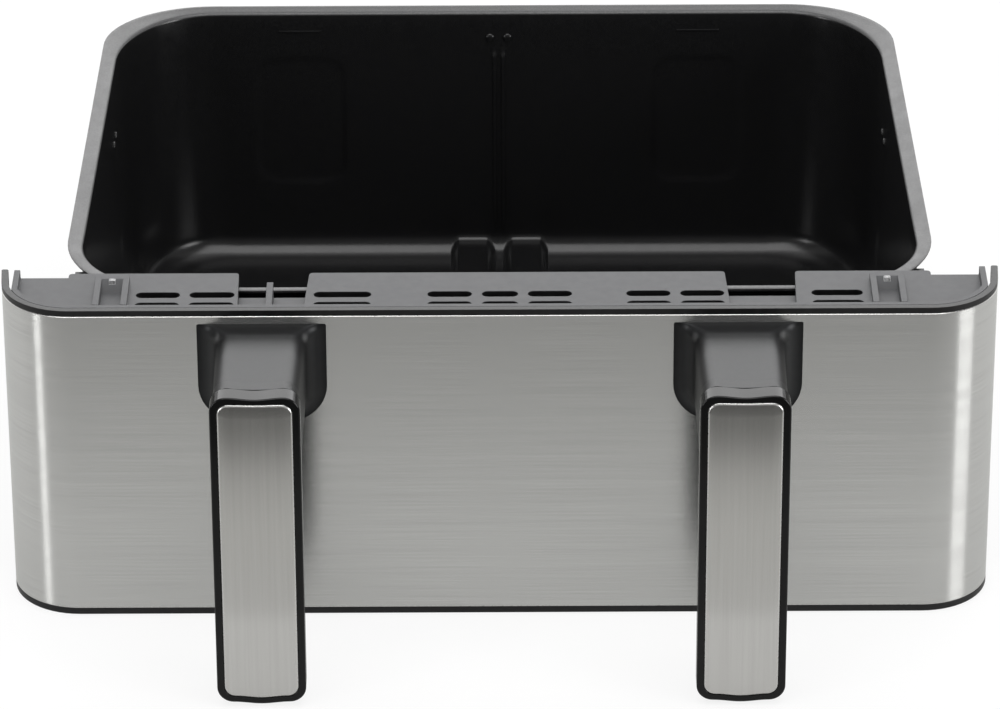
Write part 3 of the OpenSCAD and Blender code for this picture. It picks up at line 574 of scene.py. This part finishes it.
back_panel_x, back_panel_half = 89 * MM, 19.5 * MM
panel_low, panel_high, panel_r = 82 * MM, 23 * MM, 9 * MM           # drops below the rim
press, press_from, press_width = 0.6 * MM, 1.2 * MM, 2.2 * MM
guide_x, guide_half, guide_edge, guide_h = 1.95 * MM, 1.15 * MM, 0.7 * MM, 0.9 * MM
guide_top, guide_foot, guide_rise, guide_fade = 20 * MM, 107 * MM, 1 * MM, 2 * MM
lip_r = 1.6 * MM
rim_dish = 0.9 * MM                         # the rim leans in towards the well by this much
dish_share = 0.75                           # share of the rim's width that leans
level_len, lean_len = 10 * MM, 60 * MM      # its front is level, then the lean grows over a length
rim_coat_down = 0.9 * MM                    # how far the rim's lighter finish, partly painted sheen, reaches down its lip

# Columns run across the pan and rows along it, closer where a shape needs them.
mid_x, mid_y0, mid_y1 = 112 * MM, face_y + 110 * MM, face_y + 245 * MM
run_steps, turn_steps = 4, 9                # between the middle and the corner, and half a corner
ends = run_steps + turn_steps


def stations(start, stop, step):
    """Even stations from one place to another, without the last."""
    n = max(1, round(abs(stop - start) / step))
    return [start + (stop - start) * i / n for i in range(n)]


half_columns = (stations(0, 6.2 * MM, 0.45 * MM) + stations(6.2 * MM, 18 * MM, 2.4 * MM)
    + stations(18 * MM, 22.8 * MM, 0.4 * MM) + stations(22.8 * MM, 67 * MM, 4.5 * MM)
    + stations(67 * MM, 72 * MM, 1.2 * MM) + stations(72 * MM, 106 * MM, 2.2 * MM)
    + stations(106 * MM, mid_x, 1.2 * MM) + [mid_x])
columns = [-x for x in reversed(half_columns[1:])] + half_columns
rows = (stations(mid_y0, side_panel[0] - 4 * MM, 3 * MM)
    + stations(side_panel[0] - 4 * MM, side_panel[0] + 6 * MM, 1.4 * MM)
    + stations(side_panel[0] + 6 * MM, side_panel[1] - 6 * MM, 3.5 * MM)
    + stations(side_panel[1] - 6 * MM, side_panel[1] + 4 * MM, 1.4 * MM)
    + stations(side_panel[1] + 4 * MM, mid_y1, 4 * MM) + [mid_y1])


def pan_edge(side, k, inset, front_in, front, rear):
    """Point of an outline of the pan, on one of its four sides, at a column or row.

    Numbers before the first and after the last lead along the side and half round the corner."""
    reach = rim_half - inset
    lows, highs = rim_front + front_in + front[1], rim_back - inset - rear[1]
    across = side in ("front", "rear")
    inside = columns if across else rows
    over = -k if k < 0 else k - len(inside) + 1
    turn = (over - run_steps) / turn_steps * pi / 4
    if across:
        near_side = side == "front"
        corner = front if near_side else rear
        half = reach - (0 if near_side else rim_taper) - corner[0]
        side_y = rim_front + front_in if near_side else rim_back - inset
        if over <= 0:
            return columns[k], side_y
        s = -1 if k < 0 else 1
        if over <= run_steps:
            return s * (mid_x + (half - mid_x) * over / run_steps), side_y
        turned_y = lows - corner[1] * cos(turn) if near_side else highs + corner[1] * cos(turn)
        return s * (half + corner[0] * sin(turn)), turned_y
    s = 1 if side == "right" else -1
    if over <= 0:
        return s * (reach - rim_taper * (rows[k] - lows) / (highs - lows)), rows[k]
    corner = front if k < 0 else rear
    end, mid = (lows, mid_y0) if k < 0 else (highs, mid_y1)
    if over <= run_steps:
        y = mid + (end - mid) * over / run_steps
        return s * (reach - rim_taper * (y - lows) / (highs - lows)), y
    half = reach - (0 if k < 0 else rim_taper) - corner[0]
    turned_y = end + (-1 if k < 0 else 1) * corner[1] * sin(turn)
    return s * (half + corner[0] * cos(turn)), turned_y


def well_at(inset):
    """Shape of the well's outline where the wall has come in by a given distance."""
    t = inset * corner_tighten
    return (rim_flange + inset, rim_front_flange + inset, tuple(v - t for v in well_front),
        tuple(v - t for v in well_rear))


def rim_at(t):
    """Shape of an outline between the edge of the well and the outer edge of the rim."""
    inset, front_in, front, rear = well_at(0)
    return (inset * (1 - t), front_in * (1 - t),
        tuple(a + (b - a) * t for a, b in zip(front, outer_front)),
        tuple(a + (b - a) * t for a, b in zip(rear, outer_rear)))


def smooth(t):
    """Soft step from 0 to 1."""
    t = max(0.0, min(1.0, t))
    return t * t * (3 - 2 * t)


def soft_max(a, b, width):
    """The larger of two heights, rounded where they meet."""
    h = max(width - abs(a - b), 0) / width
    return max(a, b) + h * h * width / 4


def hump(x):
    """Height of the divider seat over the floor: two flat humps and the valley between them."""
    x = abs(x)
    rise = min((x - valley_half) / (hump_in - valley_half), (hump_foot - x) / (hump_foot - hump_out))
    return -soft_max(-soft_max(hump_h * rise, 0, hump_root), -hump_h, hump_brow)


def pressed(across, half, drop):
    """How deep a panel is pressed at a place, with a soft edge."""
    mid = (panel_low + panel_high) / 2
    qx = abs(across) - half + panel_r
    qz = abs(drop - mid) - (panel_low - panel_high) / 2 + panel_r
    away = sqrt(max(qx, 0) ** 2 + max(qz, 0) ** 2) + min(max(qx, qz), 0) - panel_r
    return press * (1 - smooth((away + press_from) / press_width))


def guide(x, drop):
    """How far the two beads that guide the divider stand out from the back wall."""
    bead = smooth((guide_half - abs(abs(x) - guide_x)) / guide_edge)
    begun = smooth((drop - guide_top) / guide_rise)
    return guide_h * bead * begun * smooth((guide_foot - drop) / guide_fade)


foot_shape = well_at((pan_depth - floor_r) * draft + floor_r)


def floor_place(i, j):
    """Place of a floor vertex: true columns and rows in the middle, eased into the outline."""
    def lerp(a, b, t):
        return Vector(a) * (1 - t) + Vector(b) * t
    inside_i = 0 <= i < len(columns)
    inside_j = 0 <= j < len(rows)
    if inside_i and inside_j:
        return Vector((columns[i], rows[j]))
    side = "left" if i < 0 else "right"
    end = "front" if j < 0 else "rear"
    t = (-i if i < 0 else i - len(columns) + 1) / ends
    s = (-j if j < 0 else j - len(rows) + 1) / ends
    edge_i = 0 if i < 0 else len(columns) - 1
    edge_j = 0 if j < 0 else len(rows) - 1
    if inside_j:
        return lerp((columns[edge_i], rows[j]), pan_edge(side, j, *foot_shape), t)
    if inside_i:
        return lerp((columns[i], rows[edge_j]), pan_edge(end, i, *foot_shape), s)
    inner = Vector((columns[edge_i], rows[edge_j]))
    at_side = Vector(pan_edge(side, edge_j, *foot_shape))
    at_end = Vector(pan_edge(end, edge_i, *foot_shape))
    corner = Vector(pan_edge(side, -ends if j < 0 else len(rows) - 1 + ends, *foot_shape))
    low = lerp(inner, at_side, t)
    high = Vector(pan_edge(end, i, *foot_shape))
    near_edge = lerp(inner, at_end, s)
    far_edge = Vector(pan_edge(side, j, *foot_shape))
    return (low * (1 - s) + high * s + near_edge * (1 - t) + far_edge * t
        - (inner * (1 - t) * (1 - s) + at_side * t * (1 - s) + at_end * (1 - t) * s + corner * t * s))


bm = bmesh.new()
wide, deep = len(columns) + 2 * ends - 1, len(rows) + 2 * ends - 1
bmesh.ops.create_grid(bm, x_segments=wide, y_segments=deep, size=1)
station = {}
for v in bm.verts:
    i = round((v.co.x + 1) / 2 * wide) - ends
    j = round((v.co.y + 1) / 2 * deep) - ends
    station[v] = (i, j)
    p = floor_place(i, j)
    v.co = (p.x, p.y, floor_z + hump(p.x))

# The outlines that the wall and the rim are drawn up through: shape, height, wall or rim, dish.
outlines = []
fillet_steps = 9
for a in [pi / 2 * i / fillet_steps for i in range(1, fillet_steps + 1)]:
    inset = (pan_depth - floor_r) * draft + floor_r * (1 - sin(a))
    outlines.append((well_at(inset), floor_z + floor_r * (1 - cos(a)), True, 0))
wall_drops = (stations(pan_depth - floor_r, 86 * MM, 4 * MM)[1:] + stations(86 * MM, 70 * MM, 1.6 * MM)
    + stations(70 * MM, 34 * MM, 4 * MM) + stations(34 * MM, 19 * MM, 1.5 * MM)
    + stations(19 * MM, 5 * MM, 4 * MM))
for drop in wall_drops:
    outlines.append((well_at(drop * draft), rim_z - drop, True, 0))
lip_z = rim_z - rim_dish - lip_r
for a in [radians(v) for v in (0, 22, 44, 66, 84)]:
    outlines.append((well_at(-lip_r * (1 - cos(a))), lip_z + lip_r * sin(a), False, rim_dish))
for t in (0.4, 0.6, 0.8):
    sunk = rim_dish * (1 - t) / dish_share
    outlines.append((rim_at(t), rim_z - sunk, False, sunk))
for t, down in ((0.93, 0.05 * MM), (0.98, 0.15 * MM), (1, 0.5 * MM)):
    outlines.append((rim_at(t), rim_z - down, False, 0))

open_edges = [e for e in bm.edges if e.is_boundary]
for shape, z, wall, sunk in outlines:
    made = bmesh.ops.extrude_edge_only(bm, edges=open_edges)["geom"]
    fresh = [g for g in made if isinstance(g, bmesh.types.BMVert)]
    new = set(fresh)
    for v in fresh:
        under = next(e.other_vert(v) for e in v.link_edges if e.other_vert(v) not in new)
        i, j = station[under]
        station[v] = (i, j)
        if j == -ends or j == len(rows) - 1 + ends:
            x, y = pan_edge("front" if j < 0 else "rear", i, *shape)
        else:
            x, y = pan_edge("left" if i < 0 else "right", j, *shape)
        drop = rim_z - z
        height = z + sunk * (1 - smooth((y - rim_front - level_len) / lean_len))
        if wall:
            height = soft_max(z, floor_z + hump(x), wall_blend) if abs(x) < hump_foot else z
            if 0 <= i < len(columns) and j > 0:
                y += pressed(abs(x) - back_panel_x, back_panel_half, drop)
                y -= guide(x, drop)
            if 0 <= j < len(rows):
                out_by = pressed(y - sum(side_panel) / 2, (side_panel[1] - side_panel[0]) / 2, drop)
                x += out_by if x > 0 else -out_by
        v.co = (x, y, height)
    open_edges = [g for g in made
        if isinstance(g, bmesh.types.BMEdge) and all(v in new for v in g.verts)]
bmesh.ops.recalc_face_normals(bm, faces=bm.faces)
if sum(f.normal.z * f.calc_area() for f in bm.faces) < 0:
    bmesh.ops.reverse_faces(bm, faces=bm.faces)

coat_mat = coated("non_stick_coat", specks=1500, dark=(0.005, 0.005, 0.0054),
    light=(0.012, 0.012, 0.0124), rough=(0.21, 0.27), speck_strength=0.35, speck_height=0.06 * MM)
# The rim's lighter, part-metal coat is partly its own finish and partly painted sheen, standing in for
# the black coat lit at a grazing angle.
rim_coat_and_sheen_mat = coated("rim_coat_and_sheen", specks=1500, dark=(0.07, 0.07, 0.071),
    light=(0.11, 0.11, 0.111), rough=(0.34, 0.42), speck_strength=0.2, speck_height=0.05 * MM,
    metallic=0.4)

pan = finished("pressed_pan", bm, coat_mat)
pan.data.materials.append(rim_coat_and_sheen_mat)
rim_low = rim_z - rim_dish - rim_coat_down
# Faces near the rim's top take the lighter coat with its painted sheen.
for face in pan.data.polygons:
    if face.center.z > rim_low:
        face.material_index = 1
sheet = pan.modifiers.new("sheet", "SOLIDIFY")
sheet.thickness = pan_t
sheet.offset = -1
sheet.use_even_offset = True
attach(pan, "root")
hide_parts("pan")

# Studs that locate the divider and the crisper plate, and the two fill lines on the back wall.
back_stud_x, back_stud_drop, back_stud_r, back_stud_flat = 3.9 * MM, 13 * MM, 2 * MM, 0.45
side_stud_ys, side_stud_drop = (face_y + 221 * MM, face_y + 231 * MM), 24.5 * MM
side_stud_r, side_stud_flat = 2.3 * MM, 0.42
line_x, line_drop, line_sunk, line_round = 89 * MM, 9.6 * MM, 0.05 * MM, 0.2 * MM
line_size = (19 * MM, 1.0 * MM, 0.8 * MM)
bm = bmesh.new()


def on_back(x, drop, out_by=0.0):
    """Place on the back wall, at a drop below the rim."""
    return Vector((x, rim_back - rim_flange - drop * draft - out_by, rim_z - drop))


def pressed_stud(bm, radius, flat, at):
    """Round stud, flattened by a factor on each axis."""
    stud = bmesh.ops.create_uvsphere(bm, u_segments=24, v_segments=12, radius=radius)["verts"]
    bmesh.ops.scale(bm, verts=stud, vec=flat)
    bmesh.ops.translate(bm, verts=stud, vec=at)


for side in (-1, 1):
    pressed_stud(bm, back_stud_r, (1, back_stud_flat, 1), on_back(side * back_stud_x, back_stud_drop))
wall_front = rim_front + rim_front_flange + well_front[1]
wall_rear = rim_back - rim_flange - well_rear[1]
for side in (-1, 1):
    for y in side_stud_ys:
        x = (rim_half - rim_flange - side_stud_drop * draft
            - rim_taper * (y - wall_front) / (wall_rear - wall_front))
        pressed_stud(bm, side_stud_r, (side_stud_flat, 1, 1), (side * x, y, rim_z - side_stud_drop))
for side in (-1, 1):
    bar = bmesh.ops.create_cube(bm, size=1)["verts"]
    bmesh.ops.scale(bm, verts=bar, vec=line_size)
    bmesh.ops.rotate(bm, verts=bar, cent=(0, 0, 0), matrix=Matrix.Rotation(-wall_lean, 3, "X"))
    bmesh.ops.translate(bm, verts=bar, vec=on_back(side * line_x, line_drop, -line_sunk))
    bar_edges = list(dict.fromkeys(e for v in bar for e in v.link_edges))
    bmesh.ops.bevel(bm, geom=bar_edges, offset=line_round, segments=2, profile=0.5, affect="EDGES",
        material=-1)
studs = finished("pan_studs_and_fill_lines", bm, coat_mat)
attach(studs, "root")

put(nodes["pan_bracket"], sheet_mat)

# ---- Handles --------------------------------------------------------------------------------
# Each handle is one moulding with a trumpet-shaped base on the steel, a neck, and a grip that
# hangs from it. A gloss frame with a brushed steel inlay is screwed on in front.
handle_xs = {"left": -95 * MM, "right": 95 * MM}
base_half, neck_half, grip_half = 25.8 * MM, 17.7 * MM, 16.75 * MM
base_top, base_foot, grip_top, grip_foot = 133 * MM, 89 * MM, 138.3 * MM, 1.8 * MM
base_edge_r, neck_edge_r, grip_r = 0.8 * MM, 6 * MM, 6 * MM
base_low_r, neck_low_r = 16.5 * MM, 7 * MM  # lower corners of the section
neck_under, neck_belly = 9 * MM, 12 * MM    # rise of the neck's underside, and its fall to the grip
neck_step, grip_step = 0.2 * MM, 0.1 * MM   # of the neck's top, under the base's and the grip's
drop_rate = 3                               # how fast the top comes down to the neck in the flare
cap_len, cap_in = 0.02 * MM, 0.5 * MM       # the neck's end, hidden in the grip
thumb_dip = 0.8 * MM
flare_d, grip_back, grip_round, frame_back = 11 * MM, 51 * MM, 6 * MM, 65 * MM
seam_w, seam_d, seam_wall = 0.7 * MM, 0.6 * MM, 0.01 * MM
arc_steps, top_steps, low_steps = 8, 12, 10
flare_steps, neck_steps, round_steps = 24, 24, 8

handle_mat = moulded("handle_plastic", specular=0.345, pores=2800, dark=(0.004, 0.004, 0.0043),
    light=(0.007, 0.007, 0.0075), rough=(0.36, 0.42), pit_strength=0.15, pit_depth=0.03 * MM,
    gleam=(0.955, 0.98, 1.0))
gloss_mat = moulded("frame_gloss", specular=0.3, pores=900, dark=(0.003, 0.003, 0.0032),
    light=(0.005, 0.005, 0.0052), rough=(0.13, 0.18), pit_strength=0.05, pit_depth=0.03 * MM)
inlay_mat = brushed("brushed_inlay", stretch=(900, 6, 12), dark=(0.68, 0.672, 0.655),
    light=(0.725, 0.717, 0.70), rough=0.22, rough_spread=0.01, turn=0.0, bump=0.006 * MM)


def quarter(x, z, r, start, steps):
    """Points of a quarter turn about a centre."""
    return arc_points((x, z), r, start, start + 90, steps)


def handle_section(y, set_in=0.0, grip=False, shrink=0.0):
    """Points of the handle's section at a distance in front of the steel."""
    u = 1 - min(y / flare_d, 1)
    flare = 1 - sqrt(1 - u * u)             # 1 at the steel, 0 where the neck begins
    t = max(min((y - flare_d) / (frame_back - flare_d), 1), 0)
    w = max(min((y - flare_d) / (grip_back + grip_round - flare_d), 1), 0)
    half = neck_half + (base_half - neck_half) * flare + (grip_half - neck_half) * w - set_in
    neck_top = base_top - neck_step + (grip_top - grip_step - base_top + neck_step) * t
    top = neck_top + (base_top - neck_top) * min(drop_rate * flare, 1) - set_in
    foot = base_foot + neck_under * (1 - flare) - neck_belly * w ** 3
    r = neck_edge_r + (base_edge_r - neck_edge_r) * flare
    low_r = neck_low_r + (base_low_r - neck_low_r) * flare
    if grip:
        foot, r, low_r = grip_foot + set_in, grip_r, grip_r
    half, top, foot = half - shrink, top - shrink, foot + shrink
    dip, span = thumb_dip * t, half - r
    points = quarter(half - r, top - r, r, 0, arc_steps)
    for i in range(1, top_steps):
        x = span * (1 - 2 * i / top_steps)
        points.append((x, top - max(dip * (1 - (x / span) ** 2), 0)))
    points += quarter(r - half, top - r, r, 90, arc_steps)
    points += quarter(low_r - half, foot + low_r, low_r, 180, low_steps)
    return points + quarter(half - low_r, foot + low_r, low_r, 270, low_steps)


def sweep_sections(bm, sections):
    """Closed shell through sections, each a distance from the steel and its points."""
    first_y, first = sections[0]
    ring = bmesh.ops.create_circle(bm, cap_ends=True, segments=len(first), radius=1)["verts"]
    for v, (x, z) in zip(ring, first):
        v.co = (x, face_y - first_y, z)
    order = {v: k for k, v in enumerate(ring)}
    face = next(f for f in bm.faces if all(v in order for v in f.verts))
    for y, points in sections[1:]:
        made = bmesh.ops.extrude_face_region(bm, geom=[face])["geom"]
        bmesh.ops.delete(bm, geom=[face], context="FACES_ONLY")
        face = next(g for g in made if isinstance(g, bmesh.types.BMFace))
        fresh = {}
        for v in face.verts:
            old = next(e.other_vert(v) for e in v.link_edges if e.other_vert(v) in order)
            k = order[old]
            fresh[v] = k
            v.co = (points[k][0], face_y - y, points[k][1])
        order = fresh


def handle_part(name, x, shells, mat):
    """Piece of a handle, moved to its side, from one or more closed shells of sections."""
    bm = bmesh.new()
    for sections in shells:
        sweep_sections(bm, sections)
    bmesh.ops.recalc_face_normals(bm, faces=bm.faces)
    bmesh.ops.translate(bm, verts=bm.verts, vec=(x, 0, 0))
    obj = finished(name, bm, mat)
    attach(obj, "root")
    return obj


neck_end = grip_back + grip_round
neck_ys = ([flare_d * (1 - cos(pi / 2 * i / flare_steps)) for i in range(flare_steps + 1)]
    + [flare_d + (neck_end - flare_d) * i / neck_steps for i in range(1, neck_steps + 1)])
neck_sections = [(y, handle_section(y)) for y in neck_ys]
neck_sections.append((neck_end + cap_len, handle_section(neck_end, shrink=cap_in)))
grip_sections = []
for a in [pi / 2 * i / round_steps for i in range(round_steps + 1)]:
    y = grip_back + grip_round * (1 - cos(a))
    grip_sections.append((y, handle_section(y, grip_round * (1 - sin(a)), True)))
seam_y = frame_back - seam_w
grip_sections += [(seam_y, handle_section(seam_y, 0, True)),
    (seam_y + seam_wall, handle_section(seam_y, seam_d, True)),
    (frame_back, handle_section(frame_back, seam_d, True))]

frame_half, frame_r, frame_top, frame_foot = 17.65 * MM, 6.5 * MM, 138.3 * MM, 1.0 * MM
frame_front, border, top_dip, foot_bow = 73.3 * MM, 2.8 * MM, 0.9 * MM, 0.8 * MM
dip_fade, dip_left = 3.4 * MM, 0.2          # the dip fades inwards to this share
edge_r, lip_in_r, seat_d = 0.8 * MM, 0.25 * MM, 0.8 * MM
rear_gap, rear_edge, rear_in = 0.02 * MM, 0.1 * MM, 0.3 * MM
inner_tighten = 0.7                         # loss of corner radius per inset
corner_steps, run_count = 10, 16


def frame_outline(inset):
    """Points round the frame, set in by a distance: a dipped top, round corners, a bowed foot."""
    half, r = frame_half - inset, frame_r - inset * inner_tighten
    top, foot = frame_top - inset, frame_foot + inset
    dip = top_dip * max(1 - inset / dip_fade, dip_left)
    low_z = foot + foot_bow + r
    reach = half - r
    points = quarter(reach, top - r, r, 0, corner_steps)
    for i in range(1, run_count):
        x = reach * (1 - 2 * i / run_count)
        points.append((x, top - dip * (0.5 + 0.5 * cos(pi * x / reach))))
    points += quarter(-reach, top - r, r, 90, corner_steps)
    points += quarter(-reach, low_z, r, 180, corner_steps)
    for i in range(1, run_count):
        x = reach * (2 * i / run_count - 1)
        points.append((x, foot + foot_bow * (0.5 - 0.5 * cos(pi * x / reach))))
    return points + quarter(reach, low_z, r, 270, corner_steps)


turn = [radians(a) for a in (0, 15, 30, 45, 60, 75, 90)]
frame_sections = [(frame_back + rear_gap, frame_outline(rear_in)),
    (frame_back + rear_gap + rear_edge, frame_outline(0))]
for a in turn:
    frame_sections.append((frame_front - edge_r * (1 - sin(a)), frame_outline(edge_r * (1 - cos(a)))))
for a in turn[::2]:
    frame_sections.append((frame_front - lip_in_r * (1 - cos(a)),
        frame_outline(border - lip_in_r * (1 - sin(a)))))
frame_sections.append((frame_front - seat_d, frame_outline(border)))

# The inlay's edge is rolled, and its face is crowned by a third of a millimetre.
inlay_front, inlay_t, inlay_r, inlay_gap = 74 * MM, 1.8 * MM, 1.1 * MM, 0.1 * MM
roll_share = 0.8                            # the roll is less deep than it is wide
crown_in, crown_d, crown_steps = 5 * MM, 0.35 * MM, 6
crown_start = 0.04
inlay_edge = border + inlay_gap
inlay_sections = [(inlay_front - inlay_t, frame_outline(inlay_edge))]
for a in turn[:-1]:
    inlay_sections.append((inlay_front - crown_d - roll_share * inlay_r * (1 - sin(a)),
        frame_outline(inlay_edge + inlay_r * (1 - cos(a)))))
roll_in = inlay_r * (1 - cos(turn[-2]))
for t in [i / crown_steps for i in range(crown_steps + 1)]:
    inset = inlay_edge + roll_in + crown_in * (crown_start + (1 - crown_start) * t)
    inlay_sections.append((inlay_front - crown_d * (1 - t) ** 2, frame_outline(inset)))

face_tilt = 0.93                            # faces that look ahead less than this are the edge
for hand, x in handle_xs.items():
    body = handle_part(hand + "_handle_moulding", x, [neck_sections, grip_sections], handle_mat)
    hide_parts(hand + "_handle_body")
    trim = evened(handle_part(hand + "_gloss_frame", x, [frame_sections], gloss_mat))
    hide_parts(hand + "_handle_frame")
    inlay = evened(handle_part(hand + "_steel_inlay", x, [inlay_sections], inlay_mat))
    inlay.data.materials.append(polish_mat)
    for face in inlay.data.polygons:
        if abs(face.normal.y) < face_tilt:
            face.material_index = 1
    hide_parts(hand + "_handle_plate")
    put(nodes[hand + "_clamp_plate"], sheet_mat)

# ---- Screws ---------------------------------------------------------------------------------
# Zinc-plated steel screws, driven from inside the front and from the backs of the grips. They
# hold the handles, their frames, the back cover and the pan's bracket.
screw_mat = plated("screw_plating", spangle=1200, dark=(0.30, 0.30, 0.29),
    light=(0.52, 0.51, 0.49), rough=(0.24, 0.4))
for node in nodes:
    if "screw" in node:
        put(nodes[node], screw_mat)
